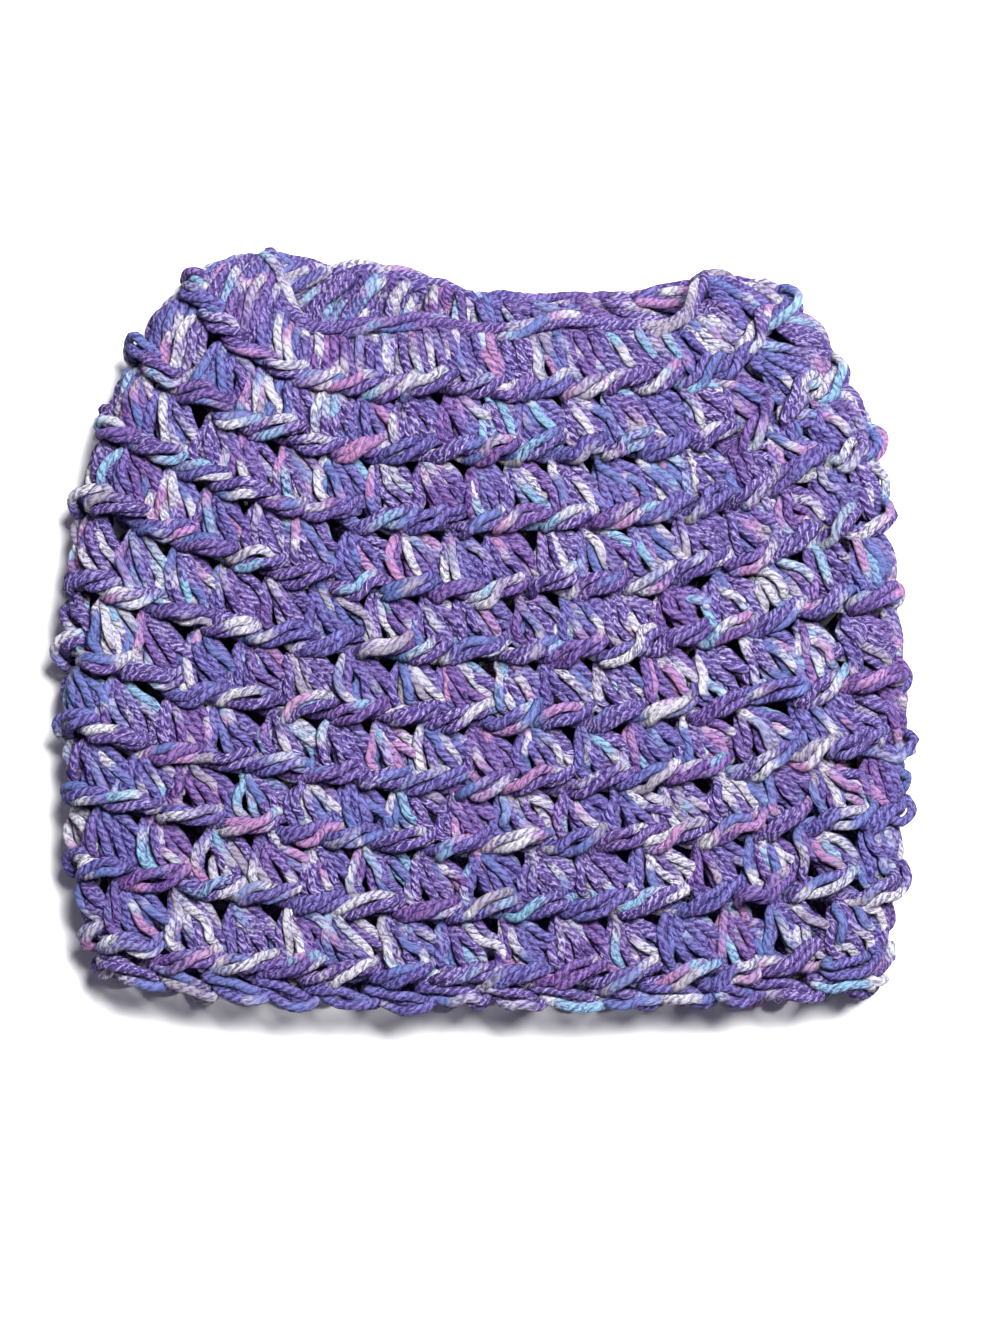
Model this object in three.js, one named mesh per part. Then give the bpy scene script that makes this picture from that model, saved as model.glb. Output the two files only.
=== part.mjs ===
// A ponytail beanie, crocheted in one bulky yarn and laid flat on its back.
// It is a tube worked in rounds: it starts at a cord round the ponytail opening, widens over the
// shoulders, and ends in a chain edge at the hem, where the head goes in. Both ends are open.
// Millimetres. +X runs across the flat hat, +Y towards the ponytail opening, +Z up. The origin is on
// the surface that the hat lies on, below the middle of its outline.

import * as THREE from "three";

// The wall. Its middle surface lies halfway through the crochet.
const BACK_HEIGHT = 5.0; // middle surface of the back panel, above the surface that it lies on
const FOLD_RADIUS = 9.0; // middle surface at the two side folds
const RIDGE_OUT = 5.3; // each round's ridge of loops, out from the middle surface
const POSTS_OUT = 3.5; // the upright strands between two ridges
const GROOVE_OUT = 0.8; // the row of holes under each ridge
const INSIDE_OUT = -3.8; // the inner side
const INSIDE_EDGE_OUT = -3.0; // the inner side where a round meets the next one
const GAP = 0.4; // between two rounds
const EDGE_GAP = 0.8; // between a round and the loops along an open edge

// The loops of yarn along the two open edges
const OPENING_EDGE = { radius: 2.7, out: 0.4 };
const HEM_EDGE = { radius: 2.9, out: 0.6 };

// The edges between the rounds, from the ponytail opening, row 0, to the last round's ridge, row 10.
// leftX to rightY: where the edge goes round the side folds. frontY and backY: how far up it lies
// in each panel, where it is level. bow: power of its curve, high where it turns up late.
// backDip: where along X the back edge is lowest. sway: how far its back follows a soft wave
// instead of the bow. lift: extra height of the front panel in the middle.
const EDGES = [
  { leftX: -60, leftY: 104.6, rightX: 61, rightY: 98.6, frontY: 83.1, backY: 92.6, bow: 13, backDip: 27, sway: 1, lift: 2.5 },
  { leftX: -82.8, leftY: 97.1, rightX: 84.5, rightY: 91.6, frontY: 66.9, backY: 75.1, bow: 4.9, backDip: 20, sway: 0.6, lift: 2.5 },
  { leftX: -96.3, leftY: 78.1, rightX: 98.8, rightY: 72.6, frontY: 48.5, backY: 56.1, bow: 3.6, backDip: 12, sway: 0.2, lift: 2.2 },
  { leftX: -106, leftY: 57.1, rightX: 107.3, rightY: 52.6, frontY: 28.8, backY: 35.1, bow: 2.6, backDip: 5, sway: 0, lift: 1.8 },
  { leftX: -111.8, leftY: 36.1, rightX: 111.2, rightY: 31.1, frontY: 9.7, backY: 14.6, bow: 2.2, backDip: 0, sway: 0, lift: 1.4 },
  { leftX: -115, leftY: 13.6, rightX: 114, rightY: 10.6, frontY: -8.2, backY: -4.9, bow: 2.1, backDip: 0, sway: 0, lift: 1.1 },
  { leftX: -116.2, leftY: -7.7, rightX: 116, rightY: -12.7, frontY: -26, backY: -23.9, bow: 2.3, backDip: 0, sway: 0, lift: 0.8 },
  { leftX: -116, leftY: -27.9, rightX: 116.4, rightY: -32.4, frontY: -44.1, backY: -42.4, bow: 2.1, backDip: 0, sway: 0, lift: 0.5 },
  { leftX: -115, leftY: -46.9, rightX: 115.6, rightY: -51.7, frontY: -61.6, backY: -60.4, bow: 1.9, backDip: 0, sway: 0, lift: 0.3 },
  { leftX: -113.6, leftY: -67.4, rightX: 114, rightY: -71.4, frontY: -79.3, backY: -78.4, bow: 2.1, backDip: 0, sway: 0, lift: 0.1 },
  { leftX: -109, leftY: -88, rightX: 109.8, rightY: -93.4, frontY: -98, backY: -97.4, bow: 3, backDip: 0, sway: 0, lift: 0 },
];

// The cut through one round. across: share of the way from the ridge above to the round's own
// ridge. out: distance from the middle surface.
const GROOVE_ACROSS = 0.17;
const ROUND_CUT = [
  { across: GROOVE_ACROSS, out: GROOVE_OUT },
  { across: 0.36, out: POSTS_OUT },
  { across: 0.76, out: POSTS_OUT },
  { across: 0.9, out: RIDGE_OUT },
  { across: 1.08, out: RIDGE_OUT },
  { across: 1 + GROOVE_ACROSS, out: GROOVE_OUT },
  { across: 1 + GROOVE_ACROSS, out: INSIDE_EDGE_OUT },
  { across: 0.66, out: INSIDE_OUT },
  { across: GROOVE_ACROSS, out: INSIDE_EDGE_OUT },
];

// Cells of the mesh along each panel and round each fold
const PANEL_CELLS = 16;
const FOLD_CELLS = 10;
const CORD_SIDES = 8;
const PROBE = 0.02; // step to either side when a direction is taken from the surface

// One column of the table at any place across the rounds, on a smooth curve through its rows.
function column(name, across) {
  const last = EDGES.length - 1;
  const k = THREE.MathUtils.clamp(Math.floor(across), 0, last - 1);
  const t = across - k;
  const at = (i) => EDGES[THREE.MathUtils.clamp(i, 0, last)][name];
  if (t < 0 || t > 1) return THREE.MathUtils.lerp(at(k), at(k + 1), t);
  const before = k > 0 ? at(k - 1) : 2 * at(k) - at(k + 1);
  const after = k + 2 <= last ? at(k + 2) : 2 * at(k + 1) - at(k);
  const slopeIn = (at(k + 1) - before) / 2;
  const slopeOut = (after - at(k)) / 2;
  const a = 2 * t ** 3 - 3 * t ** 2 + 1;
  const b = t ** 3 - 2 * t ** 2 + t;
  const c = 3 * t ** 2 - 2 * t ** 3;
  const d = t ** 3 - t ** 2;
  return a * at(k) + b * slopeIn + c * at(k + 1) + d * slopeOut;
}

// One station round the tube, by its share of the way: along the back, up the right fold, back
// along the front and down the left fold. reach runs from -1 to 1 along a panel, and turn is the
// angle round a fold.
function stationAt(share) {
  const way = THREE.MathUtils.euclideanModulo(share, 4);
  const part = way % 1;
  const sweep = Math.sin((part - 0.5) * Math.PI);
  if (way < 1) return { share, reach: sweep, turn: -90 };
  if (way < 2) return { share, reach: 1, turn: 180 * part - 90 };
  if (way < 3) return { share, reach: -sweep, turn: 90 };
  return { share, reach: -1, turn: 180 * part + 90 };
}

function stationsRound() {
  const cells = [PANEL_CELLS, FOLD_CELLS, PANEL_CELLS, FOLD_CELLS];
  return cells.flatMap((count, quarter) => Array.from({ length: count }, (_, i) => stationAt(quarter + i / count)));
}

// A point of the middle surface.
function middle(across, station) {
  const leftX = column("leftX", across);
  const rightX = column("rightX", across);
  const halfWidth = (rightX - leftX) / 2;
  const centreX = (rightX + leftX) / 2;
  const turn = THREE.MathUtils.degToRad(station.turn);
  const x = centreX + station.reach * (halfWidth - FOLD_RADIUS) + FOLD_RADIUS * Math.cos(turn);

  // Seen from above, each edge runs level in a panel and bows up to the folds.
  const isFront = station.turn > 0 && station.turn < 180;
  const lowX = isFront ? centreX : column("backDip", across);
  const side = x < lowX ? "left" : "right";
  const place = Math.min(Math.abs((x - lowX) / (column(side + "X", across) - lowX)), 1);
  const wave = (1 - Math.cos(Math.PI * place)) / 2;
  const bow = place ** column("bow", across);
  const rise = isFront ? bow : THREE.MathUtils.lerp(bow, wave, column("sway", across));
  const levelY = column(isFront ? "frontY" : "backY", across);
  const y = THREE.MathUtils.lerp(levelY, column(side + "Y", across), rise);

  const arch = isFront ? column("lift", across) * (1 - ((x - centreX) / halfWidth) ** 2) : 0;
  return new THREE.Vector3(x, y, BACK_HEIGHT + FOLD_RADIUS * (1 + Math.sin(turn)) + arch);
}

// A point of the wall: out is the distance from the middle surface, and what would reach below the
// surface that the hat lies on is pressed flat on it.
function wallPoint(across, out, station) {
  const point = middle(across, station);
  const down = middle(across + PROBE, station).sub(middle(across - PROBE, station));
  const along = middle(across, stationAt(station.share + PROBE)).sub(middle(across, stationAt(station.share - PROBE)));
  const outward = along.cross(down).normalize();
  point.addScaledVector(outward, out);
  point.z = Math.max(point.z, 0);
  return point;
}

// A closed ring: the same closed cut at every station, joined to the next one.
function ringGeometry(cutAt) {
  const stations = stationsRound();
  const cuts = stations.map(cutAt);
  const sides = cuts[0].length;
  const index = [];
  for (let i = 0; i < stations.length; i++) {
    const next = (i + 1) % stations.length;
    for (let j = 0; j < sides; j++) {
      const up = (j + 1) % sides;
      const [a, b, c, d] = [i * sides + j, i * sides + up, next * sides + up, next * sides + j];
      index.push(a, d, c, a, c, b);
    }
  }
  const geometry = new THREE.BufferGeometry().setFromPoints(cuts.flat());
  geometry.setIndex(index);
  geometry.computeVertexNormals();
  return geometry;
}

// One round of stitches, which ends a gap short of where the next one starts.
function roundGeometry(number) {
  const rowHeight = column("frontY", number - 1) - column("frontY", number);
  const gapShare = GAP / rowHeight;
  return ringGeometry((station) =>
    ROUND_CUT.map(({ across, out }) => {
      const end = across > 1 + GROOVE_ACROSS / 2 ? gapShare : 0;
      return wallPoint(number - 1 + across - end, out, station);
    }),
  );
}

// A cord laid against an open edge of the rounds: side is 1 above the edge and -1 below it.
function cordGeometry({ radius, out }, across, side) {
  return ringGeometry((station) => {
    const edge = wallPoint(across, out, station);
    const outward = wallPoint(across, out + 1, station).sub(wallPoint(across, out - 1, station)).normalize();
    const down = wallPoint(across + PROBE, out, station).sub(wallPoint(across - PROBE, out, station));
    const along = down.cross(outward).normalize();
    const up = along.cross(outward);
    const centre = edge.addScaledVector(up, side * (radius + EDGE_GAP));
    return Array.from({ length: CORD_SIDES }, (_, i) => {
      const angle = (2 * Math.PI * (i + 0.5)) / CORD_SIDES;
      const point = centre.clone().addScaledVector(up, radius * Math.cos(angle));
      return point.addScaledVector(outward, radius * Math.sin(angle));
    });
  });
}

const yarn = (color) => new THREE.MeshStandardMaterial({ color, roughness: 0.9, metalness: 0 });

const hat = new THREE.Group();
const addPiece = (name, geometry, color) => {
  const piece = new THREE.Mesh(geometry, yarn(color));
  piece.name = name;
  hat.add(piece);
};

const lastRound = EDGES.length - 1;
addPiece("opening_edge", cordGeometry(OPENING_EDGE, GROOVE_ACROSS, 1), "#7a68b8");
for (let number = 1; number <= lastRound; number++) {
  addPiece("round_" + String(number).padStart(2, "0"), roundGeometry(number), "#7565b0");
}
addPiece("hem_edge", cordGeometry(HEM_EDGE, lastRound + GROOVE_ACROSS, -1), "#8574bd");

export default hat;
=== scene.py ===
# A ponytail beanie, crocheted in bulky yarn and lying flat on its back.
# Metres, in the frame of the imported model: +X across the flat hat, +Y towards the ponytail opening.

import math

import bpy
import numpy as np
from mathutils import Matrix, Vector


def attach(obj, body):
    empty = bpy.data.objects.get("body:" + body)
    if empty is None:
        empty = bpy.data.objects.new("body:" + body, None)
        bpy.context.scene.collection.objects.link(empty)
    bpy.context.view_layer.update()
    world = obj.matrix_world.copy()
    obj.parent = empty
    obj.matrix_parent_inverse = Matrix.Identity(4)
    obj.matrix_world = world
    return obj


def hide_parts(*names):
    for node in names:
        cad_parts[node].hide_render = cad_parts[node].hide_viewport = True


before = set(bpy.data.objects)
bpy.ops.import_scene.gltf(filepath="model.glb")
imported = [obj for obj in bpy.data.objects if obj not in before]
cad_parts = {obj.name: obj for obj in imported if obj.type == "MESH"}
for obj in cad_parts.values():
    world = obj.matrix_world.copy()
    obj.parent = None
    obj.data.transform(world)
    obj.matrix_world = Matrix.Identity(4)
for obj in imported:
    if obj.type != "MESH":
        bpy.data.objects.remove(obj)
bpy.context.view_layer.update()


# The rope round the ponytail opening
# The hat starts here, with one turn of its bulky acrylic yarn that winds loosely as it goes round.
# The first round is worked over it.

# The form of the hat, which all the yarn is laid along, is a tube worked in ten rounds and laid
# flat. A place on it is given in rows down from the opening, in stitches round the hat, and in
# height over the middle of the wall. Each row of EDGES is the edge between two rounds.
LAST_ROW = 10
BACK_HEIGHT = 0.0050
FOLD_RADIUS = 0.0090
EDGE_COLUMNS = (
    "leftX", "leftY", "rightX", "rightY", "frontY", "backY", "bow", "backDip", "sway", "lift")
EDGES = (
    (-0.0600, 0.1046, 0.0610, 0.0986, 0.0831, 0.0926, 13.0, 0.027, 1.0, 0.0025),
    (-0.0828, 0.0971, 0.0845, 0.0916, 0.0669, 0.0751, 4.9, 0.020, 0.6, 0.0025),
    (-0.0963, 0.0781, 0.0988, 0.0726, 0.0485, 0.0561, 3.6, 0.012, 0.2, 0.0022),
    (-0.1060, 0.0571, 0.1073, 0.0526, 0.0288, 0.0351, 2.6, 0.005, 0.0, 0.0018),
    (-0.1118, 0.0361, 0.1112, 0.0311, 0.0097, 0.0146, 2.2, 0.000, 0.0, 0.0014),
    (-0.1150, 0.0136, 0.1140, 0.0106, -0.0082, -0.0049, 2.1, 0.000, 0.0, 0.0011),
    (-0.1162, -0.0077, 0.1160, -0.0127, -0.0260, -0.0239, 2.3, 0.000, 0.0, 0.0008),
    (-0.1160, -0.0279, 0.1164, -0.0324, -0.0441, -0.0424, 2.1, 0.000, 0.0, 0.0005),
    (-0.1150, -0.0469, 0.1156, -0.0517, -0.0616, -0.0604, 1.9, 0.000, 0.0, 0.0003),
    (-0.1136, -0.0674, 0.1140, -0.0714, -0.0793, -0.0784, 2.1, 0.000, 0.0, 0.0001),
    (-0.1090, -0.0880, 0.1098, -0.0934, -0.0980, -0.0974, 3.0, 0.000, 0.0, 0.0000),
)
STITCHES = 34  # in a round
# Width of a stitch on the front at each row. The tube is stretched more there towards the hem.
FRONT_PITCH = (
    0.0096, 0.0107, 0.0123, 0.0132, 0.0139, 0.0142, 0.0146, 0.0149, 0.0153, 0.0155, 0.0155)
FRONT_MIDDLE = 2.5  # share of the way round at the middle of the front
RING_STEPS = 1600
ROW_STEP = 0.05
NUMBER_STEP = 0.1
PROBE = 0.02  # step to either side when a direction is taken from the form
FOLD_SQUEEZE = 0.35  # how much less the yarn stands off at the side folds
WAVE_TURNS = (3, 5, 8, 12, 17)  # of the slow waves of the fabric, round the hat
LEAST_HEIGHT = 0.0021  # of the middle of a strand over what the hat lies on


def on_curve(values, across):
    """A smooth curve through one value a row, read at any place across the rows."""
    values = np.asarray(values, float)
    k = np.clip(np.floor(across), 0, LAST_ROW - 1).astype(int)
    t = across - k
    here = values[k]
    there = values[k + 1]
    before = np.where(k > 0, values[np.maximum(k - 1, 0)], 2 * here - there)
    after = np.where(k + 2 <= LAST_ROW, values[np.minimum(k + 2, LAST_ROW)], 2 * there - here)
    slope_in = (there - before) / 2
    slope_out = (after - here) / 2
    curve = (2 * t**3 - 3 * t**2 + 1) * here + (t**3 - 2 * t**2 + t) * slope_in
    curve += (3 * t**2 - 2 * t**3) * there + (t**3 - t**2) * slope_out
    return np.where((t < 0) | (t > 1), here + (there - here) * t, curve)


def middle(across, share):
    """A point of the wall's middle surface. share runs round the tube from 0 to 4: along the back,
    up the right fold, back along the front and down the left fold."""
    row = {name: on_curve([edge[i] for edge in EDGES], across) for i, name in enumerate(EDGE_COLUMNS)}
    way = np.mod(share, 4)
    quarter = np.floor(way)
    part = way - quarter
    sweep = np.sin((part - 0.5) * math.pi)
    reach = np.choose(quarter.astype(int) % 4, (sweep, 1.0, -sweep, -1.0))
    turn = np.choose(quarter.astype(int) % 4, (-90.0, 180 * part - 90, 90.0, 180 * part + 90))
    turn = np.radians(turn)
    half = (row["rightX"] - row["leftX"]) / 2
    centre = (row["rightX"] + row["leftX"]) / 2
    x = centre + reach * (half - FOLD_RADIUS) + FOLD_RADIUS * np.cos(turn)
    is_front = np.sin(turn) > 0
    low = np.where(is_front, centre, row["backDip"])
    end = np.where(x < low, row["leftX"], row["rightX"])
    place = np.clip(np.abs((x - low) / (end - low)), 0, 1)
    bow = place ** row["bow"]
    wave = (1 - np.cos(math.pi * place)) / 2
    rise = np.where(is_front, bow, bow + (wave - bow) * row["sway"])
    level = np.where(is_front, row["frontY"], row["backY"])
    side = np.where(x < low, row["leftY"], row["rightY"])
    y = level + (side - level) * rise
    arch = np.where(is_front, row["lift"] * (1 - ((x - centre) / half) ** 2), 0)
    z = BACK_HEIGHT + FOLD_RADIUS * (1 + np.sin(turn)) + arch
    return np.stack([x, y, z], axis=-1)


def stitch_grid():
    """The share of the way round, for a grid of rows and stitches. Stitch 0 is in the middle of the
    front, and the numbers run to the right, as the hat was worked."""
    rows = np.arange(-1.0, LAST_ROW + 1.0, ROW_STEP)
    ways = np.linspace(0, 4, RING_STEPS + 1)
    numbers = np.arange(0, STITCHES + NUMBER_STEP / 2, NUMBER_STEP)
    table = np.zeros((len(rows), len(numbers)))
    for i, across in enumerate(rows):
        ring = middle(np.full_like(ways, across), FRONT_MIDDLE - ways)
        length = np.concatenate([[0], np.cumsum(np.linalg.norm(np.diff(ring, axis=0), axis=1))])
        right, left, whole = (np.interp(mark, ways, length) for mark in (1, 3, 4))
        pitch = on_curve(FRONT_PITCH, np.float64(across))
        count = (0, right / pitch, STITCHES - (whole - left) / pitch, STITCHES)
        table[i] = np.interp(np.interp(numbers, count, (0, right, left, whole)), length, ways)
    return rows, numbers, table


GRID_ROWS, GRID_NUMBERS, GRID_WAYS = stitch_grid()


def share_at(across, stitch):
    """The share of the way round of a place counted in stitches."""
    row = np.clip((across - GRID_ROWS[0]) / ROW_STEP, 0, len(GRID_ROWS) - 1.001)
    number = np.mod(stitch, STITCHES) / NUMBER_STEP
    i = row.astype(int)
    j = np.minimum(number.astype(int), len(GRID_NUMBERS) - 2)
    down = row - i
    on = number - j
    top = GRID_WAYS[i, j] * (1 - on) + GRID_WAYS[i, j + 1] * on
    low = GRID_WAYS[i + 1, j] * (1 - on) + GRID_WAYS[i + 1, j + 1] * on
    return FRONT_MIDDLE - (top * (1 - down) + low * down)


def waves(across, stitch, seed, reach):
    """A slow wave over the fabric, from a few sines that close round the hat."""
    rng = np.random.default_rng(seed)
    total = np.zeros_like(across)
    for turns in WAVE_TURNS:
        slope = rng.uniform(0.3, 1.6)
        start = rng.uniform(0, 6.3)
        total += np.sin(2 * math.pi * turns * stitch / STITCHES + slope * across + start)
    return total * reach / 2


def on_fold(share):
    """How far a place lies on a side fold: 0 on the panels and 1 in the middle of a fold."""
    return np.where(np.mod(share, 2) > 1, np.sin(math.pi * np.mod(share, 1)), 0)


def on_hat(across, stitch, out):
    """The place of a point of the yarn, from rows, stitches and height over the wall's middle."""
    across = across + waves(across, stitch, seed=11, reach=0.030)
    stitch = stitch + waves(across, stitch, seed=12, reach=0.055)
    share = share_at(across, stitch)
    out = out * (1 - FOLD_SQUEEZE * on_fold(share))
    point = middle(across, share)
    along = middle(across, share + PROBE) - middle(across, share - PROBE)
    down = middle(across + PROBE, share) - middle(across - PROBE, share)
    outward = np.cross(along, down)
    outward /= np.linalg.norm(outward, axis=-1, keepdims=True)
    point = point + outward * out[..., None]
    low = LEAST_HEIGHT - point[..., 2]
    point[..., 2] += np.maximum(low, 0)
    return point


class Maths:
    """A socket of a material. Python expressions on it add Math nodes."""

    def __init__(self, tree, socket=None):
        self.tree = tree
        self.socket = socket

    def node(self, kind, settings=None, inputs=None, output=0):
        """Any other node, from its type, its settings, and the values or links of its sockets."""
        made = self.tree.nodes.new(kind)
        for name, value in (settings or {}).items():
            if name != "stops":
                setattr(made, name, value)
                continue
            elements = made.color_ramp.elements
            for i, (position, colour) in enumerate(value):
                stop = elements[i] if i < 2 else elements.new(position)
                stop.position = position
                stop.color = colour
        for name, value in (inputs or {}).items():
            if isinstance(value, Maths):
                self.tree.links.new(value.socket, made.inputs[name])
            else:
                made.inputs[name].default_value = value
        return Maths(self.tree, made.outputs[output])

    def math(self, operation, *values):
        return self.node("ShaderNodeMath", {"operation": operation}, dict(enumerate(values)))

    def mix(self, factor, first, second):
        """A colour between two, which goes through a Mix node."""
        inputs = {"Factor": factor, "A": first, "B": second}
        return self.node("ShaderNodeMix", {"data_type": "RGBA"}, inputs, output=2)

    def __add__(self, other):
        return self.math("ADD", self, other)

    def __radd__(self, other):
        return self.math("ADD", other, self)

    def __sub__(self, other):
        return self.math("SUBTRACT", self, other)

    def __rsub__(self, other):
        return self.math("SUBTRACT", other, self)

    def __mul__(self, other):
        return self.math("MULTIPLY", self, other)

    def __rmul__(self, other):
        return self.math("MULTIPLY", other, self)


# The yarn is three strands laid loosely round each other, each of them spun from three finer plies.
# The first is purple all along, the second has few flecks, and the third has many, in white, grey,
# sky blue, pink and blue.
YARN_STEP = 0.00165
STRAND_RADIUS = 0.00145
STRAND_OFFSET = 0.00130  # of each strand's middle from the yarn's
STRANDS = ((1.20, 0.76), (1.20, 0.76), (0.80, 1.46))  # radius and offset, as shares of these
FLECKED_STRAND = 2
STRAND_SIDES = 6
STRAND_LAY = -0.044  # length of one turn of the strands round each other
PLY_LAY = 0.0062  # length of one turn of a strand's own plies
PLIES = 3

# How evenly the strands are laid: the noise along them, and what it does to each
SLACK = {"Scale": 60.0, "Detail": 2.0}
SLACK_APART = 3.7  # between the noise of two strands
SLACK_TURN = 2.4
SLACK_REACH = (0.65, 0.7)  # offset: the least, and what the noise adds
SLACK_THICK = (1.15, -0.3)  # thickness: the most, and what the noise takes
CURVE_STEPS = 6

# The lengths of the noises are those of the real yarn: a fleck shows for about two centimetres, and a
# hair lies along a strand for some millimetres.
WOBBLE = {"Scale": 170.0, "Detail": 1.0}
FRAY = {"Scale": 1.0, "Detail": 1.0}
FRAY_ROUND = 1.7
FRAY_ALONG = 520
HAIRS = {"Scale": 1.0, "Detail": 4.0, "Roughness": 0.85}
HAIRS_ROUND = 3.6
HAIRS_ALONG = 230
HAIRS_RANGE = {"From Min": 0.39, "From Max": 0.61}
TONE = {"Scale": 90.0, "Detail": 2.0}
STRETCH = {"Scale": 7.0, "Detail": 0.0}
LEAN_RANGE = {"From Min": 0.56, "From Max": 0.80}
FLECK = {"Scale": 50.0, "Detail": 0.0}
FLECK_EDGE = 0.10  # how slowly a fleck gives way to the next colour
STRETCH_PULL = 0.5  # how strongly the flecks of one colour gather in its stretches
PLY_BUMP = 0.8
HAIR_BUMP = 0.8
BUMP_DEPTH = 0.0007

# How far apart the noises of two strands or two colours are read, so that they don't match
THREAD_APART = 7.3
FRAY_APART = 17.0
HAIRS_APART = 51.0
FLECK_APART = 5.3
COLOUR_APART = 2.9
STRETCH_APART = 6.1

# How strongly one thing sways another: the lay of the plies, the painted light and shade on them, and the
# flecks
PLY_WOBBLE = 0.30
PLY_FRAY = 0.50
LIT_PLY = 0.10
LIT_HAIR = 0.34
LIT_HAIR_ON_PLY = 1.60
LIT_TONE = 1.2
LIT_LOSS = 0.98
LEAN_WOBBLE = 0.2
LEAN_MOST = 1.1
FLECK_WOBBLE = 0.010
FLECK_HAIRS = 0.12
FLECK_LIT = 1.3
FLECK_LEAST_LIT = 0.56

# The dark purple painted into the grooves of the flecks and the white, as painted shade
PAINTED_GROOVE_SHADE = (0.016, 0.004, 0.095, 1)
# The purple by painted light: painted shade in the grooves between plies at the low end, painted highlights
# on the hairs at the high end
PURPLES_PAINTED_SHADE_TO_HIGHLIGHT = (
    (0.0, (0.028, 0.009, 0.125, 1)),
    (0.22, (0.066, 0.030, 0.215, 1)),
    (0.52, (0.148, 0.080, 0.345, 1)),
    (0.80, (0.375, 0.290, 0.605, 1)),
    (1.0, (0.610, 0.525, 0.810, 1)),
)
PURPLE_LEAST = 0.577
PURPLE_MORE = 0.15  # for each strand before the flecked one
BLUE_PURPLE = (0.190, 0.230, 0.600, 1)
PINK_PURPLE = (0.330, 0.150, 0.420, 1)
WHITE = (0.900, 0.880, 0.900, 1)
SKY = (0.330, 0.640, 0.860, 1)
BLUE = (0.150, 0.230, 0.560, 1)
PINK = (0.640, 0.310, 0.580, 1)
GREY = (0.500, 0.450, 0.500, 1)
# The colour of a fleck, how high its noise has to be there, and what the purple near it leans to
FLECKS = (
    (GREY, 0.62, None),
    (SKY, 0.645, None),
    (PINK, 0.665, PINK_PURPLE),
    (BLUE, 0.62, BLUE_PURPLE),
)


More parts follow.
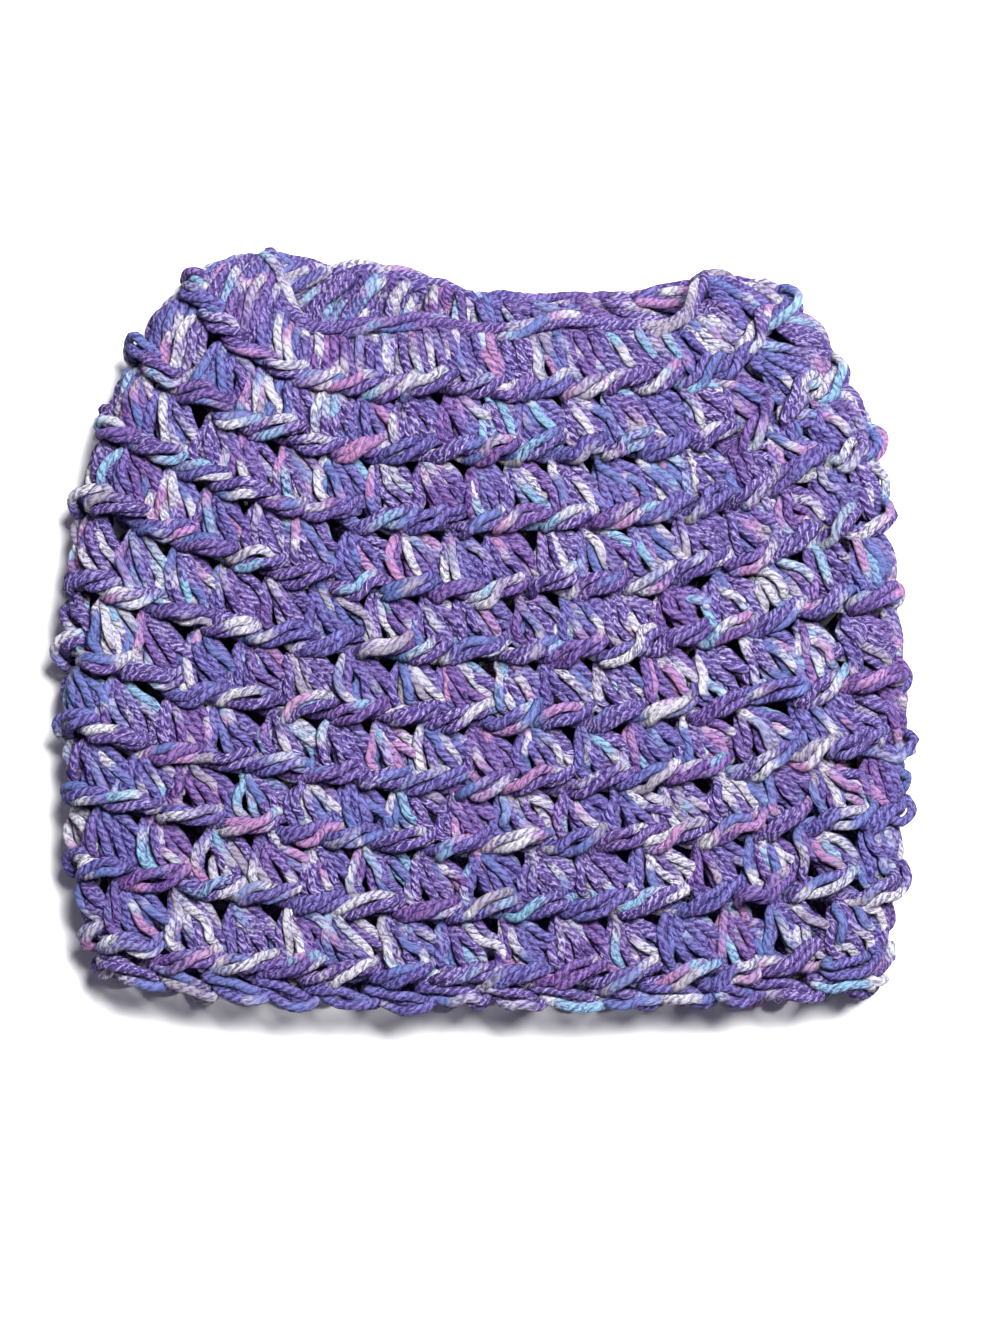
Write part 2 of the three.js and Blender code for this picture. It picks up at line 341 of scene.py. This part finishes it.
def yarn_material(name, seed):
    """Soft yarn: plies, the hairs that wind with them, and flecks that come and go along it, with painted
    shade in the grooves between plies and painted highlights on the hairs.
    """
    material = bpy.data.materials.new(name)
    material.use_nodes = True
    tree = material.node_tree
    shader = tree.nodes["Principled BSDF"]
    shader.inputs["Roughness"].default_value = 0.75
    shader.inputs["Specular IOR Level"].default_value = 0.08
    shader.inputs["Sheen Weight"].default_value = 0.30
    shader.inputs["Sheen Roughness"].default_value = 0.5
    shader.inputs["Sheen Tint"].default_value = (0.45, 0.36, 0.85, 1)

    maker = Maths(tree)
    uv = maker.node("ShaderNodeUVMap", {"uv_map": "yarn"})
    around = maker.node("ShaderNodeSeparateXYZ", inputs={"Vector": uv}, output="X")
    along = maker.node("ShaderNodeSeparateXYZ", inputs={"Vector": uv}, output="Y")
    strand = maker.node("ShaderNodeAttribute", {"attribute_name": "strand"}, output="Fac")
    thread = maker.node("ShaderNodeCombineXYZ", inputs={"X": along, "Y": strand * THREAD_APART + seed})

    def noise(dimensions, inputs):
        return maker.node("ShaderNodeTexNoise", {"noise_dimensions": dimensions}, inputs)

    def wound(turn, round_scale, along_scale, strand_apart):
        """A place for noise that closes round the strand."""
        return maker.node("ShaderNodeCombineXYZ", inputs={
            "X": maker.math("COSINE", turn * (2 * math.pi)) * round_scale,
            "Y": maker.math("SINE", turn * (2 * math.pi)) * round_scale,
            "Z": along * along_scale + strand * strand_apart + seed})

    # The plies are round ridges that wind along the strand, a little frayed
    wobble = noise("3D", {"Vector": thread, **WOBBLE})
    turns = around + along * (1 / PLY_LAY)
    fray = noise("3D", {"Vector": wound(around, FRAY_ROUND, FRAY_ALONG, FRAY_APART), **FRAY})
    phase = turns + wobble * PLY_WOBBLE + fray * PLY_FRAY
    ridge = maker.math("SINE", phase * (2 * math.pi * PLIES)) * 0.5 + 0.5
    hairs = noise("3D", {"Vector": wound(turns, HAIRS_ROUND, HAIRS_ALONG, HAIRS_APART), **HAIRS})
    hairs = maker.node("ShaderNodeMapRange", inputs={"Value": hairs, **HAIRS_RANGE})
    height = ridge * PLY_BUMP + hairs * HAIR_BUMP
    bump = maker.node("ShaderNodeBump", inputs={"Height": height, "Strength": 1.0, "Distance": BUMP_DEPTH})
    tree.links.new(bump.socket, shader.inputs["Normal"])

    # The purple is painted palest on the hairs that lie over a ply, as painted highlights, and darkest in
    # the grooves between plies, as painted shade; the tone noise adds the yarn's own uneven colour
    tone = noise("3D", {"Vector": thread, **TONE})
    tone_and_painted_light = ridge * (hairs * LIT_HAIR_ON_PLY + LIT_PLY) + hairs * LIT_HAIR + tone * LIT_TONE - LIT_LOSS
    purple = maker.node("ShaderNodeValToRGB", {"stops": PURPLES_PAINTED_SHADE_TO_HIGHLIGHT}, {"Fac": tone_and_painted_light})

    # Each colour of the flecks has its own stretches of the yarn, where the purple leans to it too, most on
    # the painted highlights and least in the painted shade of the grooves
    stretches = [noise("1D", {"W": along + (seed + number * STRETCH_APART), **STRETCH})
                 for number in range(len(FLECKS) + 1)]
    for stretch, (tint, least, leaning) in zip(stretches, FLECKS):
        if leaning:
            strength = stretch + wobble * LEAN_WOBBLE
            lean = maker.node("ShaderNodeMapRange", inputs={"Value": strength, **LEAN_RANGE})
            purple = maker.mix(lean * tone_and_painted_light * LEAN_MOST, purple, leaning)

    def share_of(number, least, more=0.0):
        """How much there is of one colour, which comes and goes along the strand by itself."""
        place = along + wobble * FLECK_WOBBLE + strand * FLECK_APART + (seed + number * COLOUR_APART)
        run = noise("1D", {"W": place, **FLECK})
        run = run + stretches[number] * STRETCH_PULL - STRETCH_PULL / 2
        run = run + more + hairs * FLECK_HAIRS
        edges = {"From Min": least, "From Max": least + FLECK_EDGE}
        return maker.node("ShaderNodeMapRange", inputs={"Value": run, **edges})

    # The flecks lie over white, and the purple lies over both
    colour = WHITE
    for number, (tint, least, leaning) in enumerate(FLECKS):
        colour = maker.mix(share_of(number, least), colour, tint)
    # The flecks and the white darken towards the painted groove shade where the painted light is low, and
    # keep their own colour where it is high
    colour = maker.mix(tone_and_painted_light * FLECK_LIT + FLECK_LEAST_LIT, PAINTED_GROOVE_SHADE, colour)
    more = (FLECKED_STRAND - strand) * PURPLE_MORE
    colour = maker.mix(share_of(len(FLECKS), PURPLE_LEAST, more), colour, purple)
    tree.links.new(colour.socket, shader.inputs["Base Color"])
    return material


def yarn_nodes():
    """The tree that spins the strands along a path of points."""
    tree = bpy.data.node_groups.new("Spin yarn", "GeometryNodeTree")
    face = tree.interface
    face.new_socket("Geometry", in_out="INPUT", socket_type="NodeSocketGeometry")
    for name, value in (("Step", YARN_STEP), ("Strand lay", STRAND_LAY),
                        ("Strand radius", STRAND_RADIUS), ("Strand offset", STRAND_OFFSET)):
        face.new_socket(name, in_out="INPUT", socket_type="NodeSocketFloat").default_value = value
    face.new_socket("Sides", in_out="INPUT", socket_type="NodeSocketInt").default_value = STRAND_SIDES
    face.new_socket("Material", in_out="INPUT", socket_type="NodeSocketMaterial")
    face.new_socket("Geometry", in_out="OUTPUT", socket_type="NodeSocketGeometry")

    def node(kind, settings=None, inputs=None):
        made = tree.nodes.new(kind)
        for name, value in (settings or {}).items():
            setattr(made, name, value)
        for name, value in (inputs or {}).items():
            if isinstance(value, bpy.types.NodeSocket):
                tree.links.new(value, made.inputs[name])
            else:
                made.inputs[name].default_value = value
        return made

    def sum_of(operation, *values):
        return node("ShaderNodeMath", {"operation": operation}, dict(enumerate(values))).outputs[0]

    def vector(operation, inputs):
        return node("ShaderNodeVectorMath", {"operation": operation}, inputs).outputs[0]

    def keep(geometry, name, value):
        """Keeps a number at every point, for the material and the map."""
        return node("GeometryNodeStoreNamedAttribute", {"data_type": "FLOAT", "domain": "POINT"},
                    {"Geometry": geometry, "Name": name, "Value": value}).outputs[0]

    # The path, smooth and in even steps
    given = node("NodeGroupInput").outputs
    path = node("GeometryNodeMeshToCurve", inputs={"Mesh": given["Geometry"]})
    smooth = node("GeometryNodeCurveSplineType", {"spline_type": "CATMULL_ROM"}, {"Curve": path.outputs[0]})
    fine = node("GeometryNodeSetSplineResolution",
                inputs={"Geometry": smooth.outputs[0], "Resolution": CURVE_STEPS})
    even = node("GeometryNodeResampleCurve", {"mode": "LENGTH"},
                {"Curve": fine.outputs[0], "Length": given["Step"]})
    length = node("GeometryNodeSplineParameter").outputs["Length"]
    marked = keep(even.outputs[0], "along", length)
    share = node("GeometryNodeSplineParameter").outputs["Factor"]
    ring = node("GeometryNodeCurvePrimitiveCircle",
                inputs={"Resolution": given["Sides"], "Radius": given["Strand radius"]})
    ring = keep(ring.outputs[0], "around", share)
    normal = node("GeometryNodeInputNormal").outputs[0]
    tangent = node("GeometryNodeInputTangent").outputs[0]
    sideways = vector("CROSS_PRODUCT", {0: tangent, 1: normal})
    swell = node("GeometryNodeInputNamedAttribute", {"data_type": "FLOAT"}, {"Name": "swell"}).outputs[0]

    # Each strand winds round the path, now slacker and now tighter
    joined = node("GeometryNodeJoinGeometry")
    for number, (stout, apart) in enumerate(STRANDS):
        start = number * 2 * math.pi / len(STRANDS)
        slack = node("ShaderNodeTexNoise", {"noise_dimensions": "1D"},
                     {"W": sum_of("ADD", length, number * SLACK_APART), **SLACK}).outputs[0]
        turn = sum_of("DIVIDE", sum_of("MULTIPLY", length, 2 * math.pi), given["Strand lay"])
        turn = sum_of("ADD", turn, sum_of("MULTIPLY_ADD", slack, SLACK_TURN, start))
        least, added = SLACK_REACH
        reach = sum_of("MULTIPLY_ADD", slack, added * apart, least * apart)
        reach = sum_of("MULTIPLY", sum_of("MULTIPLY", given["Strand offset"], reach), swell)
        one = vector("SCALE", {0: normal, "Scale": sum_of("MULTIPLY", reach, sum_of("COSINE", turn))})
        other = vector("SCALE", {0: sideways, "Scale": sum_of("MULTIPLY", reach, sum_of("SINE", turn))})
        moved = node("GeometryNodeSetPosition",
                     inputs={"Geometry": marked, "Offset": vector("ADD", {0: one, 1: other})})
        most, taken = SLACK_THICK
        thick = sum_of("MULTIPLY", swell, sum_of("MULTIPLY_ADD", slack, taken * stout, most * stout))
        sized = node("GeometryNodeSetCurveRadius", inputs={"Curve": moved.outputs[0], "Radius": thick})
        strand = node("GeometryNodeCurveToMesh", inputs={"Curve": sized.outputs[0], "Profile Curve": ring})
        tree.links.new(keep(strand.outputs[0], "strand", float(number)), joined.inputs[0])
    whole = node("GeometryNodeRealizeInstances", inputs={"Geometry": joined.outputs[0]})
    soft = node("GeometryNodeSetShadeSmooth", inputs={"Geometry": whole.outputs[0]})
    done = node("GeometryNodeSetMaterial",
                inputs={"Geometry": soft.outputs[0], "Material": given["Material"]})
    tree.links.new(done.outputs[0], node("NodeGroupOutput").inputs[0])
    return tree


SPIN = yarn_nodes()


def map_yarn(mesh):
    """The map along the yarn, closed over the seam of each strand and where the path closes."""
    corners = np.empty(len(mesh.loops), np.int32)
    mesh.loops.foreach_get("vertex_index", corners)
    maps = np.empty((len(corners), 2), np.float32)
    for column, key in enumerate(("around", "along")):
        values = np.empty(len(mesh.vertices), np.float32)
        mesh.attributes[key].data.foreach_get("value", values)
        faces = values[corners].reshape(-1, 4)
        span = 1.0 if key == "around" else values.max() + YARN_STEP
        over = (faces.max(1, keepdims=True) - faces) > span / 2
        maps[:, column] = (faces + over * span).ravel()
    mesh.uv_layers.new(name="yarn").data.foreach_set("uv", maps.ravel())


def press_flat(mesh):
    """What would reach below the surface that the hat lies on is pressed flat on it."""
    points = np.empty(len(mesh.vertices) * 3, np.float32)
    mesh.vertices.foreach_get("co", points)
    points[2::3] = np.maximum(points[2::3], 0)
    mesh.vertices.foreach_set("co", points)
    mesh.update()


def spin(name, points, swell, seed):
    """A piece of yarn that follows a closed path. swell is its thickness at each of the points."""
    guide = bpy.data.meshes.new(name + "_path")
    guide.from_pydata(points.tolist(), [(i, (i + 1) % len(points)) for i in range(len(points))], [])
    guide.attributes.new("swell", "FLOAT", "POINT").data.foreach_set("value", swell.astype(np.float32))
    maker = bpy.data.objects.new(name + "_path", guide)
    bpy.context.scene.collection.objects.link(maker)
    modifier = maker.modifiers.new("Spin yarn", "NODES")
    modifier.node_group = SPIN
    sockets = {item.name: item.identifier for item in SPIN.interface.items_tree if item.in_out == "INPUT"}
    modifier[sockets["Material"]] = yarn_material(name, seed)
    mesh = bpy.data.meshes.new_from_object(maker.evaluated_get(bpy.context.evaluated_depsgraph_get()))
    bpy.data.objects.remove(maker)
    bpy.data.meshes.remove(guide)
    mesh.name = name
    map_yarn(mesh)
    press_flat(mesh)
    piece = bpy.data.objects.new(name, mesh)
    bpy.context.scene.collection.objects.link(piece)
    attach(piece, "root")
    return piece


ROPE_LAY = 0.044
ROPE_RADIUS = 0.0013
ROPE_ACROSS = -0.03  # above the first edge, in rows
ROPE_SUNK = 0.14  # how much lower it lies at the side folds, in rows
ROPE_OUT = 0.0016
ROPE_SWELL = 0.9
ROPE_STEP = 0.25  # between the points of its path, in stitches
ROPE_SPREAD = 0.15  # how unevenly it winds
FIRST_ROW_HEIGHT = 0.0165


def rope_path():
    """The path of the rope and its thickness on the way."""
    rng = np.random.default_rng(seed=7)
    numbers = np.arange(0, STITCHES, ROPE_STEP) + STITCHES / 2
    level = np.full_like(numbers, ROPE_ACROSS)
    base = on_hat(level, numbers, np.full_like(numbers, ROPE_OUT))
    length = np.linalg.norm(np.diff(base, axis=0, append=base[:1]), axis=1)
    travel = np.concatenate([[0], np.cumsum(length)[:-1]])
    turns = round(length.sum() / ROPE_LAY)
    angle = 2 * math.pi * (travel / length.sum() * turns) + rng.normal(0, ROPE_SPREAD, len(numbers))
    sunk = ROPE_SUNK * on_fold(share_at(level, numbers))
    rise = level + sunk + ROPE_RADIUS * np.cos(angle) / FIRST_ROW_HEIGHT
    out = ROPE_OUT + ROPE_RADIUS * np.sin(angle)
    return on_hat(rise, numbers, out), np.full(len(numbers), ROPE_SWELL)


rope = spin("opening_rope", *rope_path(), seed=31.0)
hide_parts("opening_edge")


# The rounds
# Each is a round of half double crochet in the same yarn, worked through the back loops only. Its
# stitches hang from the holes under the ridge above, four strands to a stitch, and end in a loop
# that slants up to the right. Those loops make the ridge.

# One stitch as the yarn goes. stitch: to the right of its hole. across: 0 at the ridge above, 1 at
# its own. out: millimetres over the wall's middle. swell: the yarn's thickness, less where it is
# squeezed. The loop comes first, then the strands: up to the ridge above, down, up and down again.
STITCH = (
    (-0.40, 1.11, -0.8, 0.62), (-0.24, 1.13, 2.3, 0.95), (0.00, 1.09, 4.8, 1.32),
    (0.27, 1.02, 5.6, 1.46), (0.52, 0.95, 4.6, 1.26), (0.73, 0.88, 1.9, 0.86), (0.90, 0.82, -1.2, 0.68),
    (0.88, 0.64, 0.4, 1.02), (0.69, 0.46, 1.5, 1.18), (0.48, 0.30, 0.8, 1.00),
    (0.31, 0.16, -1.0, 0.68), (0.19, 0.07, -2.2, 0.55),
    (0.21, 0.17, -1.2, 0.62), (0.31, 0.35, 0.9, 1.00), (0.43, 0.54, 1.9, 1.18),
    (0.55, 0.73, 1.5, 1.16), (0.64, 0.88, -0.2, 0.92), (0.54, 1.00, -1.6, 0.80),
    (0.40, 0.92, -0.6, 0.86), (0.31, 0.78, 1.0, 1.12), (0.23, 0.56, 1.8, 1.18),
    (0.17, 0.36, 0.9, 0.96), (0.13, 0.18, -1.6, 0.65), (0.11, 0.06, -2.8, 0.55),
    (0.07, 0.18, -2.0, 0.62), (0.01, 0.36, 0.4, 0.96), (-0.05, 0.57, 1.6, 1.18),
    (-0.07, 0.78, 1.1, 1.12), (0.04, 0.94, -0.6, 0.86), (0.32, 1.05, -1.8, 0.80),
)
# In the first round three strands of each stitch stand side by side below the rope. The one that
# goes up to it first is hidden behind them.
FIRST_STITCH = (
    (-0.44, 1.11, 0.0, 0.70), (-0.26, 1.12, 2.8, 1.00), (0.00, 1.09, 4.5, 1.22),
    (0.28, 1.02, 4.8, 1.28), (0.54, 0.95, 4.0, 1.15), (0.76, 0.89, 1.8, 0.85),
    (0.80, 0.94, -0.8, 0.80), (0.50, 1.00, -1.8, 0.80), (0.16, 1.00, -1.9, 0.80),
    (0.20, 0.75, -2.6, 0.80), (0.36, 0.42, -2.6, 0.80), (0.52, 0.16, -1.8, 0.80),
    (0.60, 0.10, -0.4, 0.80), (0.63, 0.24, 1.8, 0.95), (0.70, 0.46, 2.6, 1.05),
    (0.80, 0.68, 2.2, 1.00), (0.84, 0.88, 0.4, 0.85), (0.68, 0.96, -0.4, 0.80),
    (0.52, 0.90, 0.4, 0.90), (0.44, 0.72, 2.1, 1.00), (0.36, 0.46, 2.5, 1.05),
    (0.30, 0.24, 1.6, 0.95), (0.24, 0.10, -0.4, 0.80), (0.10, 0.06, -1.6, 0.75),
    (-0.03, 0.12, -0.2, 0.80), (-0.05, 0.26, 1.8, 0.95), (-0.02, 0.50, 2.5, 1.05),
    (0.04, 0.74, 1.7, 1.00), (0.16, 0.94, -0.2, 0.82), (0.42, 1.02, -1.2, 0.80),
)
# Where the holes of each ridge are, in stitches from the middle of the front
HOLES = (0.40, 0.90, 1.42, 2.05, 2.65, 3.22, 3.82, 4.34, 4.82, 5.28, 5.80)
STITCH_LEAN = 0.5  # from the holes of one ridge to the next, in the stitch as it is given above
FROM_BACK = np.arange(STITCHES) + STITCHES // 2  # the stitches, in the order they are worked
SEAM = 6.3  # where each round was joined to its start, in stitches
SEAM_REACH = 1.3  # how far from it the stitches are looser, in stitches
LOOP_FROM = 0.75  # where the loop begins across a round
LOOP_DEPTH = 0.2
MILLIMETRE = 0.001

# How uneven the work is: the spread of each measure, for a whole stitch and for each of its points
STITCH_SPREAD = 0.040
POINT_SPREAD = 0.036
TILT_SPREAD = 0.25
ROW_SPREAD = 0.024
OUT_SPREAD = 0.38
SWELL_SPREAD = 0.05


def round_path(number, stitch):
    """The path of the yarn through one round, and its thickness on the way."""
    rng = np.random.default_rng(seed=100 + number)
    whole = (STITCHES, 1)
    each = (STITCHES, len(stitch))
    along, across, out, swell = np.moveaxis(np.repeat(np.array(stitch)[None], STITCHES, axis=0), 2, 0)
    drift = HOLES[number] - HOLES[number - 1] - STITCH_LEAN
    along = along + drift * across + FROM_BACK[:, None] + HOLES[number - 1]
    from_seam = np.mod(FROM_BACK + HOLES[number - 1] - SEAM + STITCHES / 2, STITCHES) - STITCHES / 2
    loose = 1 + np.exp(-((from_seam / SEAM_REACH) ** 2))[:, None]
    along += loose * (rng.normal(0, STITCH_SPREAD, whole) + rng.normal(0, POINT_SPREAD, each))

    # A loop may lie more or less steep
    tilt = rng.normal(0, TILT_SPREAD, whole) * np.clip(across - LOOP_FROM, 0, LOOP_DEPTH)
    shift = tilt * (along - along.mean(1, keepdims=True)) + rng.normal(0, ROW_SPREAD, whole)
    across = across + loose * (shift + rng.normal(0, ROW_SPREAD, each))
    out = out + loose * rng.normal(0, OUT_SPREAD, each)
    swell = swell * rng.normal(1, SWELL_SPREAD, each)
    return on_hat(number - 1 + across.ravel(), along.ravel(), out.ravel() * MILLIMETRE), swell.ravel()


for number in range(1, LAST_ROW + 1):
    node = f"round_{number:02d}"
    stitch = FIRST_STITCH if number == 1 else STITCH
    crochet = spin("crochet_" + node, *round_path(number, stitch), seed=number * 1.7)
    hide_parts(node)


# The chain along the hem
# The hem isn't finished with another yarn. What lies along it are the free loops of the last round,
# one to a stitch, each reaching over the start of the next.

HEM_LOOP = (
    (-0.42, 1.24, 0.2, 1.00), (-0.22, 1.27, 2.0, 1.25), (0.06, 1.33, 2.6, 1.45), (0.34, 1.40, 2.4, 1.45),
    (0.58, 1.45, 1.0, 1.20), (0.72, 1.40, -1.0, 1.05), (0.62, 1.28, -1.8, 1.05),
)
HEM_STITCH_SPREAD = 0.03
HEM_ROW_SPREAD = 0.02
HEM_OUT_SPREAD = 0.2


def hem_path():
    """The path of the chain and its thickness on the way."""
    rng = np.random.default_rng(seed=55)
    each = (STITCHES, len(HEM_LOOP))
    along, across, out, swell = np.moveaxis(np.repeat(np.array(HEM_LOOP)[None], STITCHES, axis=0), 2, 0)
    along = along + FROM_BACK[:, None] + HOLES[LAST_ROW] - STITCH_LEAN
    along = along + rng.normal(0, HEM_STITCH_SPREAD, each)
    across = across + rng.normal(0, HEM_ROW_SPREAD, each)
    out = out + rng.normal(0, HEM_OUT_SPREAD, each)
    return on_hat(LAST_ROW - 1 + across.ravel(), along.ravel(), out.ravel() * MILLIMETRE), swell.ravel()


hem = spin("hem_chain", *hem_path(), seed=47.0)
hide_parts("hem_edge")


# The surface that the hat lies on
# A wide sheet of smooth white card. It isn't part of the hat.

FLOOR_REACH = 3.0
CORNERS = ((-1, -1), (1, -1), (1, 1), (-1, 1))
sheet = bpy.data.meshes.new("floor")
sheet.from_pydata([(x * FLOOR_REACH, y * FLOOR_REACH, 0) for x, y in CORNERS], [], [(0, 1, 2, 3)])
floor = bpy.data.objects.new("floor", sheet)
bpy.context.scene.collection.objects.link(floor)
card = bpy.data.materials.new("floor")
card.use_nodes = True
card.node_tree.nodes["Principled BSDF"].inputs["Base Color"].default_value = (0.90, 0.90, 0.91, 1)
card.node_tree.nodes["Principled BSDF"].inputs["Roughness"].default_value = 0.9
sheet.materials.append(card)


# The light
# One soft lamp above, a little to the upper right, and a faint fill from the left. The light that
# comes from all round is violet, as it is in the pockets of the crochet.


def aim(thing, target):
    thing.rotation_euler = (Vector(target) - thing.location).to_track_quat("-Z", "Y").to_euler()


def lamp(name, place, size, power):
    light = bpy.data.lights.new(name, "AREA")
    light.size = size
    light.energy = power
    made = bpy.data.objects.new(name, light)
    made.location = place
    aim(made, (0, 0, 0))
    bpy.context.scene.collection.objects.link(made)


lamp("key", place=(0.36, 0.36, 1.26), size=0.48, power=61)
lamp("fill", place=(-0.6, -0.2, 1.4), size=1.5, power=1)
world = bpy.data.worlds.new("studio")
world.use_nodes = True
world.node_tree.nodes["Background"].inputs["Color"].default_value = (0.72, 0.64, 1.0, 1)
world.node_tree.nodes["Background"].inputs["Strength"].default_value = 0.085
bpy.context.scene.world = world


# The camera
# It looks down on the hat from almost straight above. Its picture is 0.282 m wide at the hat, and
# its middle lies a little below the hat's and to the right.

FRAME_HEIGHT = 0.376
AIM = (0.0042, -0.0120, 0.020)
ELEVATION = math.radians(87)
LENS = 110.0
SENSOR = 36.0
lens = bpy.data.cameras.new("camera")
lens.lens = LENS
lens.sensor_width = SENSOR
camera = bpy.data.objects.new("camera", lens)
distance = FRAME_HEIGHT * LENS / SENSOR
back = distance * math.cos(ELEVATION)
up = distance * math.sin(ELEVATION)
camera.location = (AIM[0], AIM[1] - back, AIM[2] + up)
aim(camera, AIM)
bpy.context.scene.collection.objects.link(camera)
bpy.context.scene.camera = camera
bpy.context.scene.view_settings.view_transform = "Standard"
